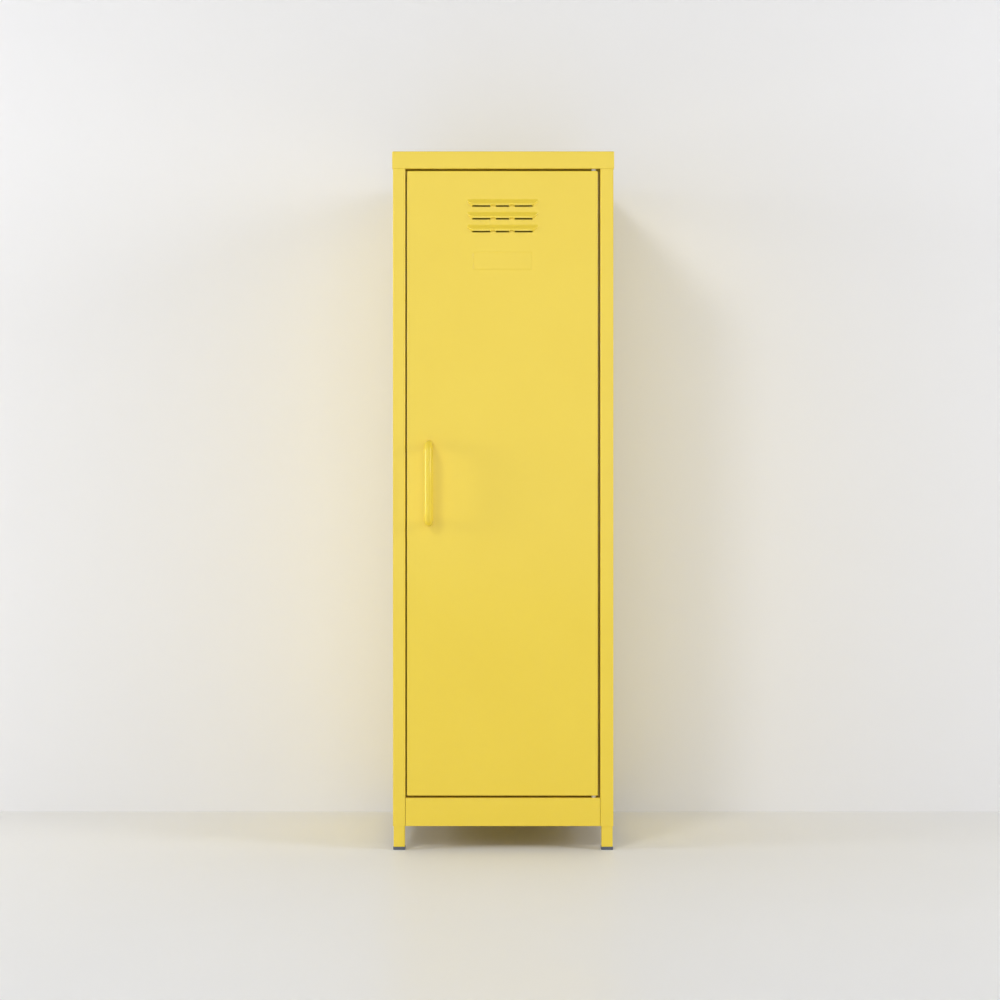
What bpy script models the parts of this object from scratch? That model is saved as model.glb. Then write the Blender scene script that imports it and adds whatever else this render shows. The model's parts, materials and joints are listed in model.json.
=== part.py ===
"""Single-door steel locker cabinet: a folded sheet body on four short legs, with two shelves.

Metres, +Z up. The door faces -Y. The origin is on the floor, under the middle of the whole object.
"""

import math

import bmesh
import bpy
from mathutils import Vector

# Steel and fits
SHEET = 0.0008  # gauge of the body, door and shelf steel
SEAT = 0.0003  # gap left between two pieces that touch
FOLD = 0.0008  # inside radius of a fold in the sheet
FOLD_STEPS = 2
HOLE_SLACK = 0.0004  # how much wider than its screw a hole is, on the radius

# Overall sizes
BODY_W = 0.350  # across the two side panels
BODY_D = 0.400  # from the stile faces to the back panel's outer face
TOTAL_H = 1.108  # from the floor to the top of the cap

# Front of the body
LATCH_STILE = 0.020
HINGE_STILE = 0.021
CAP_SKIRT = 0.0275
KICK_H = 0.045
STOP_W = 0.012  # how far the door stop reaches in from the jamb
HEM = 0.012  # return at the stop's inner edge
STOP_GAP = 0.003  # between the door's back and the stop
REAR_FLANGE = 0.020
REAR_LIP = 0.015  # lips of the two rear rails
HEADER_LIP = 0.036
KICK_LIP = 0.020
REAR_TOP_H = 0.048
FLOOR_FLANGE = 0.018

# Legs
LEG_SHOW = 0.0325  # length of leg in sight under the body
LEG_GRIP = 0.036  # length of leg inside the body
LEG_WALL = 0.0012
GLIDE_H = 0.005
GLIDE_LIP = 0.0006  # how far the glide's foot stands out round the leg
GLIDE_PLUG = 0.012

# Door
DOOR_T = 0.018
DOOR_RETURN = 0.024  # width of the return flange round the door's back
DOOR_CORNER = 0.002
LATCH_GAP = 0.0025
HINGE_GAP = 0.0038
TOP_GAP = 0.0034
LOW_GAP = 0.0034
STIFFENER_W = 0.030
STIFFENER_FOOT = 0.012
STIFFENER_D = 0.013
STIFFENER_END = 0.045

# Ventilation beads, pressed out of the door and pierced below
BEAD_COUNT = 3
BEAD_PITCH = 0.0203
BEAD_DROP = 0.0498  # from the door's top to the first bead's middle
BEAD_L = 0.113
BEAD_HALF = 0.0054  # half its height
BEAD_OUT = 0.0046  # how far it stands out
BEAD_TAPER = 0.0095  # length of its rounded end
BEAD_STEPS = 8  # round its section
SLOT_H = 0.003
SLOT_WEB = 0.0034
SLOT_MID = 0.0284  # length of the middle slot
SLOT_END = 0.0325  # length of each outer slot

# Card recess under the beads
CARD_W = 0.094
CARD_H = 0.028
CARD_DROP = 0.1425
CARD_DEEP = 0.0005

# Handle
HANDLE_D = 0.012
HANDLE_PITCH = 0.123  # between its two screws
HANDLE_OUT = 0.036
HANDLE_BEND = 0.015  # on the rod's middle line
HANDLE_INSET = 0.0346  # from the door's latch edge
HANDLE_SIDES = 12
HANDLE_STEPS = 6  # in each bend
HANDLE_TAP = 0.016  # depth of the tapped hole in each end
HANDLE_SCREW_R = 0.0015

# Hinge pins
PIN_R = 0.002
PIN_SLACK = 0.0002
PIN_INSET = 0.0063  # from the door's hinge edge
PIN_DEPTH = 0.0075  # behind the door's front
PIN_PLATE_T = 0.003
PIN_PLATE_W = 0.020
BUSH_WALL = 0.001
BUSH_COLLAR = 0.0006
BUSH_TAIL = 0.004

# Shelves and what carries them
UPRIGHT_W = 0.020
UPRIGHT_D = 0.008
UPRIGHT_FRONT = 0.062  # middle of the front uprights, behind the stile faces
UPRIGHT_REAR = 0.050  # middle of the rear uprights, in front of the rear flanges
UPRIGHT_TOP = 0.060
SLOT_FIRST = 0.060  # first shelf slot above the floor panel
SLOT_PITCH = 0.050
CLIP_T = 0.0012
CLIP_W = 0.012
CLIP_DROP = 0.015
CLIP_LEDGE = 0.012
CLIP_FOLD = 0.0003
SHELF_H = 0.020
SHELF_RETURN = 0.012
SHELF_SLACK = 0.0008
SHELF_BEHIND = 0.006  # from the hem to the shelf's front
SHELF_BACK = 0.002

# Catch and bumpers
CATCH_W = 0.0112
CATCH_D = 0.0155
CATCH_H = 0.045
CATCH_WALL = 0.0026
POLE_OUT = 0.0008  # how far the magnet stands out of its housing
STRIKE_T = 0.0012
STRIKE_H = 0.040
BUMPER_R = 0.004
BUMPER_STEM_R = 0.0019
BUMPER_END = 0.070

# Screws
SCREW_R = 0.002
SCREW_HEAD_R = 0.004
SCREW_HEAD_H = 0.0024
SCREW_L = 0.010
BACK_SCREWS = 4  # down each edge of the back panel
BACK_SCREW_END = 0.018
CAP_SCREW_INSET = 0.070
WALL_HOLE_R = 0.0035
WALL_HOLE_INSET = 0.060
WALL_HOLE_DROP = 0.075

# Places worked out from the sizes above
CAP_PROUD = SHEET + SEAT
REAR_PROUD = CAP_PROUD + SEAT + SCREW_HEAD_H
Y_FACE = (HANDLE_OUT - BODY_D - REAR_PROUD) / 2
Y_BACK = Y_FACE + BODY_D
Y_REAR = Y_BACK - SHEET - SEAT
HALF_W = BODY_W / 2
Z_BODY = GLIDE_H + LEG_SHOW
Z_LEDGE = Z_BODY + KICK_H
Z_OPEN = TOTAL_H - CAP_SKIRT
Z_UNDER = TOTAL_H - SHEET - SEAT
Z_REST = Z_LEDGE + STOP_W
Z_FLOOR = Z_REST + SEAT + SHEET
JAMB = DOOR_T + STOP_GAP
Y_STOP = Y_FACE + JAMB
Y_HEM = Y_STOP + HEM
X_LATCH = -HALF_W + LATCH_STILE
X_HINGE = HALF_W - HINGE_STILE
DOOR_X0 = X_LATCH + LATCH_GAP
DOOR_X1 = X_HINGE - HINGE_GAP
DOOR_Z0 = Z_LEDGE + LOW_GAP
DOOR_Z1 = Z_OPEN - TOP_GAP
DOOR_MID_X = (DOOR_X0 + DOOR_X1) / 2
DOOR_MID_Z = (DOOR_Z0 + DOOR_Z1) / 2
Y_DOOR_BACK = Y_FACE + DOOR_T
AXIS_X = DOOR_X1 - PIN_INSET
AXIS_Y = Y_FACE + PIN_DEPTH
HANDLE_X = DOOR_X0 + HANDLE_INSET
LEG_W = min(LATCH_STILE, HINGE_STILE, REAR_FLANGE) - 2 * SHEET - 2 * SEAT
LEG_X = HALF_W - SHEET - SEAT - LEG_W / 2
LEG_FRONT_Y = Y_FACE + SHEET + SEAT + LEG_W / 2
LEG_REAR_Y = Y_REAR - SHEET - SEAT - LEG_W / 2
LEG_SCREW_Z = Z_BODY + BACK_SCREW_END
UPRIGHT_X = HALF_W - SHEET - SEAT - UPRIGHT_D
UPRIGHT_Z1 = TOTAL_H - UPRIGHT_TOP
SLOT_COUNT = int((UPRIGHT_Z1 - Z_FLOOR - SLOT_FIRST - SLOT_PITCH / 2) / SLOT_PITCH) + 1
SHELF_SLOTS = {"lower": round(SLOT_COUNT / 3), "upper": round(2 * SLOT_COUNT / 3)}
SHELF_HALF = UPRIGHT_X - SEAT - CLIP_T - SHELF_SLACK
CATCH_X = X_LATCH + STOP_W + SEAT
BUMPER_X = X_LATCH + STOP_W / 2
BACK_SCREW_X = SHELF_HALF + SCREW_R + 2 * SEAT  # so that the shelves slide past the screws' tips
CAP_SCREW_Z = TOTAL_H - CAP_SKIRT / 2
LONG = 2.0  # longer than the object, for cutters that run right through


# Materials


def material(name, colour, roughness, metallic=0.0):
    made = bpy.data.materials.new(name)
    made.use_nodes = True
    shader = made.node_tree.nodes["Principled BSDF"]
    shader.inputs["Base Color"].default_value = (*colour, 1.0)
    shader.inputs["Roughness"].default_value = roughness
    shader.inputs["Metallic"].default_value = metallic
    made.diffuse_color = (*colour, 1.0)
    return made


# Shapes


def place(axis, u, v, w):
    """The point that is w along an axis, and u and v along the other two in X, Y, Z order."""
    return Vector({"X": (w, u, v), "Y": (u, w, v), "Z": (u, v, w)}[axis])


def add_loft(mesh, rings, bored=False):
    """Skins rings of equally many points into one body. A bored one joins its last ring to its first."""
    loops = [[mesh.verts.new(point) for point in ring] for ring in rings]
    pairs = list(zip(loops, loops[1:]))
    if bored:
        pairs.append((loops[-1], loops[0]))
    else:
        mesh.faces.new(loops[0])
        mesh.faces.new(loops[-1])
    for first, second in pairs:
        for i in range(len(first)):
            after = (i + 1) % len(first)
            mesh.faces.new((first[i], first[after], second[after], second[i]))


def finished(name, mesh, finish):
    bmesh.ops.recalc_face_normals(mesh, faces=mesh.faces)
    data = bpy.data.meshes.new(name)
    mesh.to_mesh(data)
    mesh.free()
    data.shade_smooth()
    data.set_sharp_from_angle(angle=math.radians(35))
    made = bpy.data.objects.new(name, data)
    bpy.context.scene.collection.objects.link(made)
    if finish:
        data.materials.append(finish)
    return made


def loft(name, rings, finish, bored=False):
    mesh = bmesh.new()
    add_loft(mesh, rings, bored)
    return finished(name, mesh, finish)


def box_rings(low, high):
    """Two square rings, at the bottom and the top of a box."""
    corners = [(low[0], low[1]), (high[0], low[1]), (high[0], high[1]), (low[0], high[1])]
    return [[Vector((x, y, z)) for x, y in corners] for z in (low[2], high[2])]


def circle(axis, centre, radius, w, sides):
    points = []
    for i in range(sides):
        turn = 2 * math.pi * (i + 0.5) / sides
        u, v = centre[0] + radius * math.cos(turn), centre[1] + radius * math.sin(turn)
        points.append(place(axis, u, v, w))
    return points


def turned(name, axis, centre, profile, finish, sides=16, bored=False):
    """A lathe shape from (radius, distance along the axis) pairs."""
    return loft(name, [circle(axis, centre, r, w, sides) for r, w in profile], finish, bored)


def prism(name, axis, outline, low, high, finish):
    return loft(name, [[place(axis, u, v, w) for u, v in outline] for w in (low, high)], finish)


def left_of(start, end):
    along = (end - start).normalized()
    return Vector((-along.y, along.x))


def moved_path(path, distance):
    """The path moved to its left by a distance, mitred at its corners."""
    moved = []
    for i, point in enumerate(path):
        normals = [left_of(*pair) for pair in (path[i - 1 : i + 1], path[i : i + 2]) if len(pair) == 2]
        total = sum(normals, Vector((0, 0)))
        share = distance / (1 + normals[0].dot(normals[-1])) if len(normals) == 2 else distance
        moved.append(point + total * share)
    return moved


def folded_outline(path, side, gauge=SHEET, fold=FOLD):
    """Both faces of a folded sheet. One follows the path. side is 1 with the steel on its left, or -1."""
    middle = moved_path([Vector(point) for point in path], side * gauge / 2)
    radius = fold + gauge / 2
    left, right = [], []
    for i, point in enumerate(middle):
        if i in (0, len(middle) - 1):
            normal = left_of(*(middle[:2] if i == 0 else middle[-2:]))
            spots = [(point, normal)]
        else:
            before, after = left_of(middle[i - 1], point), left_of(point, middle[i + 1])
            angle = math.atan2(before.x * after.y - before.y * after.x, before.dot(after))
            back = (middle[i - 1] - point).normalized() * radius * math.tan(abs(angle) / 2)
            turn = math.copysign(1, angle)
            pivot = point + back + before * turn * radius
            spots = []
            for step in range(FOLD_STEPS + 1):
                part = angle * step / FOLD_STEPS
                cos, sin = math.cos(part), math.sin(part)
                normal = Vector((before.x * cos - before.y * sin, before.x * sin + before.y * cos))
                spots.append((pivot - normal * turn * radius, normal))
        left += [spot + normal * gauge / 2 for spot, normal in spots]
        right += [spot - normal * gauge / 2 for spot, normal in spots]
    return left, right


def folded_prism(name, axis, path, side, low, high, finish, gauge=SHEET, fold=FOLD):
    left, right = folded_outline(path, side, gauge, fold)
    return prism(name, axis, left + right[::-1], low, high, finish)


def round_rectangle(low, high, radius):
    """Points round a rectangle with round corners."""
    left, right = low[0] + radius, high[0] - radius
    bottom, top = low[1] + radius, high[1] - radius
    points = []
    for quarter, (u, v) in enumerate([(right, top), (left, top), (left, bottom), (right, bottom)]):
        for step in range(FOLD_STEPS + 1):
            angle = math.pi / 2 * (quarter + step / FOLD_STEPS)
            points.append((u + radius * math.cos(angle), v + radius * math.sin(angle)))
    return points


def pan(name, axis, low, high, path, side, corner, finish):
    """A flat plate with folded edges. The path runs from the plate over the fold, as (inset, height)."""
    left, right = folded_outline(path, side)
    rings = []
    for inset, w in left + right[::-1]:
        inner_low, inner_high = (low[0] + inset, low[1] + inset), (high[0] - inset, high[1] - inset)
        radius = max(corner - inset, SHEET / 2)
        rings.append([place(axis, u, v, w) for u, v in round_rectangle(inner_low, inner_high, radius)])
    return loft(name, rings, finish)


# Cuts


def cutter(name, shapes):
    """A hidden tool made of several closed shapes, each a list of rings."""
    mesh = bmesh.new()
    for rings in shapes:
        add_loft(mesh, rings)
    made = finished(name, mesh, None)
    made.hide_render = True
    made.display_type = "WIRE"
    return made


def use_cutter(target, tool, operation="DIFFERENCE"):
    modifier = target.modifiers.new(tool.name, "BOOLEAN")
    modifier.object = tool
    modifier.operation = operation


def cut(target, tool_name, shapes):
    use_cutter(target, cutter(tool_name, shapes))


def rod(axis, centre, radius, low, high, sides=16):
    return [circle(axis, centre, radius, w, sides) for w in (low, high)]


def screw_hole(axis, centre, low, high, radius=SCREW_R):
    return rod(axis, centre, radius + HOLE_SLACK, low, high, 12)


def screw(name, axis, centre, seat, inward, finish, length=SCREW_L, radius=SCREW_R):
    """A pan-head screw whose head rests on the plane at seat. inward is 1 or -1, the way the shank goes."""
    head_r, head_h = SCREW_HEAD_R * radius / SCREW_R, SCREW_HEAD_H * radius / SCREW_R
    under = seat - inward * SEAT
    head = under - inward * head_h
    profile = [
        (head_r * 0.55, head),
        (head_r * 0.9, head + inward * head_h * 0.3),
        (head_r, head + inward * head_h * 0.7),
        (head_r, under),
        (radius, under),
        (radius, seat + inward * (length - radius)),
        (radius * 0.4, seat + inward * length),
    ]
    return turned(name, axis, centre, profile, finish, 12)


def sided(name, x):
    """The name with its side, seen from the front. The latch is on the left, the hinges on the right."""
    return name + ("_left" if x < 0 else "_right")


# Body


def rear_screw_levels():
    low, high = LEG_SCREW_Z, Z_OPEN - BACK_SCREW_END
    return [low + (high - low) * i / (BACK_SCREWS - 1) for i in range(BACK_SCREWS)]


def cap_screw_places():
    return [(sign * CAP_SCREW_INSET, CAP_SCREW_Z) for sign in (-1, 1)]


def side_panel(sign, stile, paint):
    """One sheet: rear flange, side, stile, jamb, door stop and hem."""
    name = sided("side_panel", sign)
    edge = sign * HALF_W
    jamb = edge - sign * stile
    stop = jamb - sign * STOP_W
    path = [
        (edge - sign * REAR_FLANGE, Y_REAR),
        (edge, Y_REAR),
        (edge, Y_FACE),
        (jamb, Y_FACE),
        (jamb, Y_STOP),
        (stop, Y_STOP),
        (stop, Y_HEM),
    ]
    panel = folded_prism(name, "Z", path, -sign, Z_BODY, Z_UNDER, paint)
    rear_places = [(sign * BACK_SCREW_X, z) for z in rear_screw_levels()]
    holes = [screw_hole("Y", at, Y_REAR - 2 * SHEET, Y_BACK) for at in rear_places]
    span = sorted((jamb - sign * LEG_W / 4, jamb + sign * LEG_W / 4))
    holes.append(screw_hole("X", (LEG_FRONT_Y, LEG_SCREW_Z), *span))
    if sign < 0:
        wide = BUMPER_STEM_R + HOLE_SLACK
        near, far = Y_STOP - SHEET, Y_STOP + 2 * SHEET
        holes += [rod("Y", (BUMPER_X, z), wide, near, far) for z in bumper_levels()]
        holes.append(screw_hole("X", catch_screw_at(), stop - 2 * SHEET, stop + SHEET))
    cut(panel, name + "_holes", holes)
    return panel


def notches(name, target, low, high):
    """Cuts both ends of a front rail back where the door stops of the side panels stand."""
    shapes = [
        box_rings((-LONG, Y_STOP - SEAT, low), (X_LATCH + STOP_W + SEAT, Y_HEM + LONG, high)),
        box_rings((X_HINGE - STOP_W - SEAT, Y_STOP - SEAT, low), (LONG, Y_HEM + LONG, high)),
    ]
    cut(target, name, shapes)


def header_rail(paint):
    """Top of the door opening, behind the cap's front skirt. It holds the upper hinge bush."""
    path = [
        (Y_FACE + HEADER_LIP, Z_UNDER),
        (Y_FACE, Z_UNDER),
        (Y_FACE, Z_OPEN),
        (Y_STOP, Z_OPEN),
        (Y_STOP, Z_OPEN - STOP_W),
        (Y_HEM, Z_OPEN - STOP_W),
    ]
    rail = folded_prism("header_rail", "X", path, 1, X_LATCH + SEAT, X_HINGE - SEAT, paint)
    notches("header_notches", rail, Z_OPEN - 2 * STOP_W, TOTAL_H)
    bush = rod("Z", (AXIS_X, AXIS_Y), bush_neck_r() + SEAT, Z_OPEN - SHEET, Z_OPEN + 2 * SHEET)
    cut(rail, "header_bush_hole", [bush])


def kick_rail(paint):
    """Front rail under the door, with the ledge that holds the lower hinge bush."""
    path = [
        (Y_FACE + KICK_LIP, Z_BODY),
        (Y_FACE, Z_BODY),
        (Y_FACE, Z_LEDGE),
        (Y_STOP, Z_LEDGE),
        (Y_STOP, Z_REST),
        (Y_HEM, Z_REST),
    ]
    rail = folded_prism("kick_rail", "X", path, -1, X_LATCH + SEAT, X_HINGE - SEAT, paint)
    notches("kick_notches", rail, Z_BODY - SHEET, Z_REST + SHEET)
    bush = rod("Z", (AXIS_X, AXIS_Y), bush_neck_r() + SEAT, Z_LEDGE - 2 * SHEET, Z_LEDGE + SHEET)
    cut(rail, "kick_bush_hole", [bush])


def rear_rail(name, low, high, paint):
    half = HALF_W - REAR_FLANGE - SEAT
    path = [(Y_REAR - REAR_LIP, low), (Y_REAR, low), (Y_REAR, high), (Y_REAR - REAR_LIP, high)]
    return folded_prism(name, "X", path, 1, -half, half, paint)


def rear_rails(paint):
    rear_rail("rear_bottom_rail", Z_BODY, Z_REST, paint)
    top = rear_rail("rear_top_rail", TOTAL_H - REAR_TOP_H, Z_UNDER, paint)
    holes = [screw_hole("Y", at, Y_REAR - 2 * SHEET, Y_BACK) for at in cap_screw_places()]
    cut(top, "rear_top_rail_holes", holes)


def floor_panel(paint):
    """Bottom of the locker. It lies on the kick rail's hem and the rear rail, between the side panels."""
    half = HALF_W - SHEET - SEAT
    low = Z_FLOOR - FLOOR_FLANGE
    path = [(-half, low), (-half, Z_FLOOR), (half, Z_FLOOR), (half, low)]
    panel = folded_prism("floor_panel", "Y", path, -1, Y_STOP + SEAT, Y_REAR - SHEET - SEAT, paint)
    front = Y_HEM + SEAT
    shapes = [
        box_rings((-LONG, Y_FACE, low - SHEET), (X_LATCH + STOP_W + SEAT, front, Z_FLOOR + SHEET)),
        box_rings((X_HINGE - STOP_W - SEAT, Y_FACE, low - SHEET), (LONG, front, Z_FLOOR + SHEET)),
    ]
    cut(panel, "floor_notches", shapes)


def top_cap(paint):
    """Lid that drops over the body, with a skirt on all four sides."""
    low = (-HALF_W - CAP_PROUD, Y_FACE - CAP_PROUD)
    high = (HALF_W + CAP_PROUD, Y_BACK + CAP_PROUD)
    path = [(3 * FOLD + SHEET, TOTAL_H), (0, TOTAL_H), (0, Z_OPEN)]
    cap = pan("top_cap", "Z", low, high, path, 1, 2 * FOLD, paint)
    holes = [screw_hole("Y", at, Y_BACK, Y_BACK + 4 * SHEET) for at in cap_screw_places()]
    cut(cap, "top_cap_holes", holes)


def back_panel(paint):
    half = HALF_W - SEAT
    rings = box_rings((-half, Y_BACK - SHEET, Z_BODY), (half, Y_BACK, Z_UNDER))
    panel = loft("back_panel", rings, paint)
    holes = []
    places = cap_screw_places()
    for sign in (-1, 1):
        places += [(sign * BACK_SCREW_X, z) for z in rear_screw_levels()]
        wall = (sign * (HALF_W - WALL_HOLE_INSET), TOTAL_H - WALL_HOLE_DROP)
        holes.append(rod("Y", wall, WALL_HOLE_R, Y_BACK - 2 * SHEET, Y_BACK + SHEET))
    holes += [screw_hole("Y", at, Y_BACK - 2 * SHEET, Y_BACK + SHEET) for at in places]
    cut(panel, "back_panel_holes", holes)


def rear_fasteners(zinc):
    for sign in (-1, 1):
        for i, z in enumerate(rear_screw_levels()):
            name = sided(f"back_screw_{i + 1}", sign)
            screw(name, "Y", (sign * BACK_SCREW_X, z), Y_BACK, -1, zinc)
    for x, z in cap_screw_places():
        screw(sided("cap_screw", x), "Y", (x, z), Y_BACK + CAP_PROUD, -1, zinc)


# Legs


def square_rings(centre, halves, levels):
    """Square rings round a vertical line, from their half widths and heights."""
    rings = []
    for half, z in zip(halves, levels):
        corners = ((-half, -half), (half, -half), (half, half), (-half, half))
        rings.append([Vector((centre[0] + u, centre[1] + v, z)) for u, v in corners])
    return rings


def leg(name, sign, y, rear, paint, dark):
    """A square tube that stands in a corner of the body, and the plastic glide plugged into its foot."""
    centre = (sign * LEG_X, y)
    half, bore = LEG_W / 2, LEG_W / 2 - LEG_WALL
    low, high = GLIDE_H, Z_BODY + LEG_GRIP
    rings = square_rings(centre, (half, half, bore, bore), (low, high, high, low))
    tube = loft("leg_" + name, rings, paint, bored=True)
    if rear:
        hole = screw_hole("Y", (BACK_SCREW_X * sign, LEG_SCREW_Z), centre[1] + bore / 2, centre[1] + LEG_W)
    else:
        span = sorted((centre[0] - sign * LEG_W, centre[0] - sign * bore / 2))
        hole = screw_hole("X", (centre[1], LEG_SCREW_Z), *span)
    cut(tube, f"leg_{name}_hole", [hole])
    foot, plug = half + GLIDE_LIP, bore - SEAT
    step = GLIDE_H - SEAT
    halves = (foot * 0.9, foot, foot, plug, plug, plug * 0.9)
    levels = (0, foot * 0.1, step, step, GLIDE_PLUG, GLIDE_H + GLIDE_PLUG)
    loft("glide_" + name, square_rings(centre, halves, levels), dark)


def legs(paint, dark, zinc):
    for sign in (-1, 1):
        leg(sided("front", sign), sign, LEG_FRONT_Y, False, paint, dark)
        leg(sided("rear", sign), sign, LEG_REAR_Y, True, paint, dark)
        jamb = X_LATCH if sign < 0 else X_HINGE
        screw(sided("leg_screw", sign), "X", (LEG_FRONT_Y, LEG_SCREW_Z), jamb, sign, zinc)


# Shelves


def slot_levels():
    return [Z_FLOOR + SLOT_FIRST + SLOT_PITCH * i for i in range(SLOT_COUNT)]


def upright_lines():
    return {"front": Y_FACE + UPRIGHT_FRONT, "rear": Y_REAR - UPRIGHT_REAR}


def upright(name, sign, y, paint):
    """Slotted channel on a side panel's inner face."""
    half = UPRIGHT_W / 2
    base, face = sign * (UPRIGHT_X + UPRIGHT_D), sign * UPRIGHT_X
    path = [(base, y - half), (face, y - half), (face, y + half), (base, y + half)]
    channel = folded_prism(name, "Z", path, -sign, Z_FLOOR + SEAT, UPRIGHT_Z1, paint)
    wide = CLIP_W / 2 + SEAT
    across = sorted((face - sign * SHEET, face + sign * 2 * SHEET))
    shapes = [
        box_rings((across[0], y - wide, z - SEAT), (across[1], y + wide, z + 2 * CLIP_T + SEAT))
        for z in slot_levels()
    ]
    cut(channel, name + "_slots", shapes)


def shelf_clip(name, sign, y, level, zinc):
    """Hooks through one upright slot, and carries a corner of a shelf on its ledge."""
    face, behind = UPRIGHT_X - SEAT, UPRIGHT_X + SHEET + SEAT
    path = [
        (behind, level - CLIP_DROP / 3),
        (behind, level),
        (face, level),
        (face, level - CLIP_DROP),
        (face - CLIP_LEDGE, level - CLIP_DROP),
    ]
    path = [(sign * x, z) for x, z in path]
    half = CLIP_W / 2
    folded_prism(name, "Y", path, -sign, y - half, y + half, zinc, CLIP_T, CLIP_FOLD)


def shelf(name, level, paint):
    """A pan with its edges turned down and returned, resting on four clips."""
    low = level - CLIP_DROP + CLIP_T + SEAT
    top = low + SHELF_H
    path = [(3 * FOLD + SHEET, top), (0, top), (0, low), (SHELF_RETURN, low)]
    corners = (-SHELF_HALF, Y_HEM + SHELF_BEHIND), (SHELF_HALF, Y_REAR - SHEET - SHELF_BACK)
    pan(name, "Z", *corners, path, 1, 2 * FOLD, paint)


def shelving(paint, zinc):
    levels = slot_levels()
    for where, y in upright_lines().items():
        for sign in (-1, 1):
            upright(sided(f"upright_{where}", sign), sign, y, paint)
            for height, slot in SHELF_SLOTS.items():
                shelf_clip(sided(f"clip_{height}_{where}", sign), sign, y, levels[slot], zinc)
    for height, slot in SHELF_SLOTS.items():
        shelf("shelf_" + height, levels[slot], paint)


# Catch and bumpers


def bumper_levels():
    return [DOOR_Z0 + BUMPER_END, DOOR_Z1 - BUMPER_END]


def catch_screw_at():
    return (Y_STOP + HEM * 0.6, DOOR_MID_Z + CATCH_H / 2 - SCREW_HEAD_R * 1.3)


def catch(white, dark, zinc):
    """Magnetic catch on the latch-side door stop, and the steel plate that it holds on the door."""
    front = Y_DOOR_BACK + SEAT + STRIKE_T + SEAT
    low = (CATCH_X, front + POLE_OUT, DOOR_MID_Z - CATCH_H / 2)
    high = (CATCH_X + CATCH_W, front + POLE_OUT + CATCH_D, DOOR_MID_Z + CATCH_H / 2)
    housing = loft("catch_housing", box_rings(low, high), white)
    screw_y, screw_z = catch_screw_at()
    pocket_top = screw_z - SCREW_HEAD_R * 1.3
    pocket_low = (low[0] + CATCH_WALL, low[1] - SHEET, low[2] + CATCH_WALL)
    pocket_high = (high[0] - CATCH_WALL, high[1] - CATCH_WALL, pocket_top)
    hole = screw_hole("X", (screw_y, screw_z), low[0] - SHEET, high[0] + SHEET)
    cut(housing, "catch_cuts", [box_rings(pocket_low, pocket_high), hole])
    magnet_low = (pocket_low[0] + SEAT, front, pocket_low[2] + SEAT)
    magnet_high = [value - SEAT for value in pocket_high]
    loft("catch_magnet", box_rings(magnet_low, magnet_high), dark)
    screw("catch_screw", "X", (screw_y, screw_z), high[0], -1, zinc, CATCH_W + 5 * SHEET)
    strike_low = (low[0] + SEAT, Y_DOOR_BACK + SEAT, DOOR_MID_Z - STRIKE_H / 2)
    strike_high = (high[0] - SEAT, Y_DOOR_BACK + SEAT + STRIKE_T, DOOR_MID_Z + STRIKE_H / 2)
    loft("strike_plate", box_rings(strike_low, strike_high), zinc)


def bumpers(rubber):
    for name, z in zip(("lower", "upper"), bumper_levels()):
        neck, tail = Y_STOP + SHEET + SEAT, Y_STOP + 4 * SHEET
        profile = [
            (BUMPER_R * 0.7, Y_DOOR_BACK + SEAT),
            (BUMPER_R, Y_DOOR_BACK + 2 * SEAT),
            (BUMPER_R, Y_STOP - SEAT),
            (BUMPER_STEM_R, Y_STOP - SEAT),
            (BUMPER_STEM_R, neck),
            (BUMPER_STEM_R * 1.5, neck),
            (BUMPER_STEM_R * 0.6, tail),
        ]
        turned(f"door_bumper_{name}", "Y", (BUMPER_X, z), profile, rubber)


# Hinges


def bush_neck_r():
    return PIN_R + PIN_SLACK + BUSH_WALL


def bush(name, seat, outward, collar, white):
    """Nylon bush in the sheet at seat. outward is 1 if its collar lies above the sheet, or -1."""
    bore, neck = PIN_R + PIN_SLACK, bush_neck_r()
    rim = neck + BUSH_COLLAR
    near, far = seat + outward * SEAT, seat + outward * (SEAT + collar)
    tail = seat - outward * (SHEET + BUSH_TAIL)
    profile = [(bore, far), (rim, far), (rim, near), (neck, near), (neck, tail), (bore, tail)]
    turned(name, "Z", (AXIS_X, AXIS_Y), profile, white, 16, bored=True)


def pin(name, door_edge, outward, gap, steel, zinc):
    """Pin through the door's edge into a bush, with the plate inside the door that it is fixed to."""
    outer = door_edge - outward * (SHEET + SEAT)
    inner = outer - outward * PIN_PLATE_T
    head = inner - outward * SEAT
    levels = sorted((outer, inner))
    margin = SHEET + 2 * SEAT
    low = (DOOR_X1 - margin - PIN_PLATE_W, Y_FACE + margin, levels[0])
    high = (DOOR_X1 - margin, Y_DOOR_BACK - margin, levels[1])
    plate = loft("pin_plate_" + name, box_rings(low, high), steel)
    hole = rod("Z", (AXIS_X, AXIS_Y), PIN_R + SEAT, levels[0] - SHEET, levels[1] + SHEET)
    cut(plate, f"pin_plate_{name}_hole", [hole])
    tip = door_edge + outward * (gap + SHEET + BUSH_TAIL)
    profile = [
        (PIN_R * 1.6, head - outward * PIN_R),
        (PIN_R * 1.6, head),
        (PIN_R, head),
        (PIN_R, tip - outward * PIN_R / 2),
        (PIN_R * 0.6, tip),
    ]
    turned("hinge_pin_" + name, "Z", (AXIS_X, AXIS_Y), profile, zinc)


def hinges(white, steel, zinc):
    bush("hinge_bush_top", Z_OPEN, -1, TOP_GAP - 2 * SEAT, white)
    bush("hinge_bush_bottom", Z_LEDGE, 1, LOW_GAP - 2 * SEAT, white)
    pin("top", DOOR_Z1, 1, TOP_GAP, steel, zinc)
    pin("bottom", DOOR_Z0, -1, LOW_GAP, steel, zinc)


# Door


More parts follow.
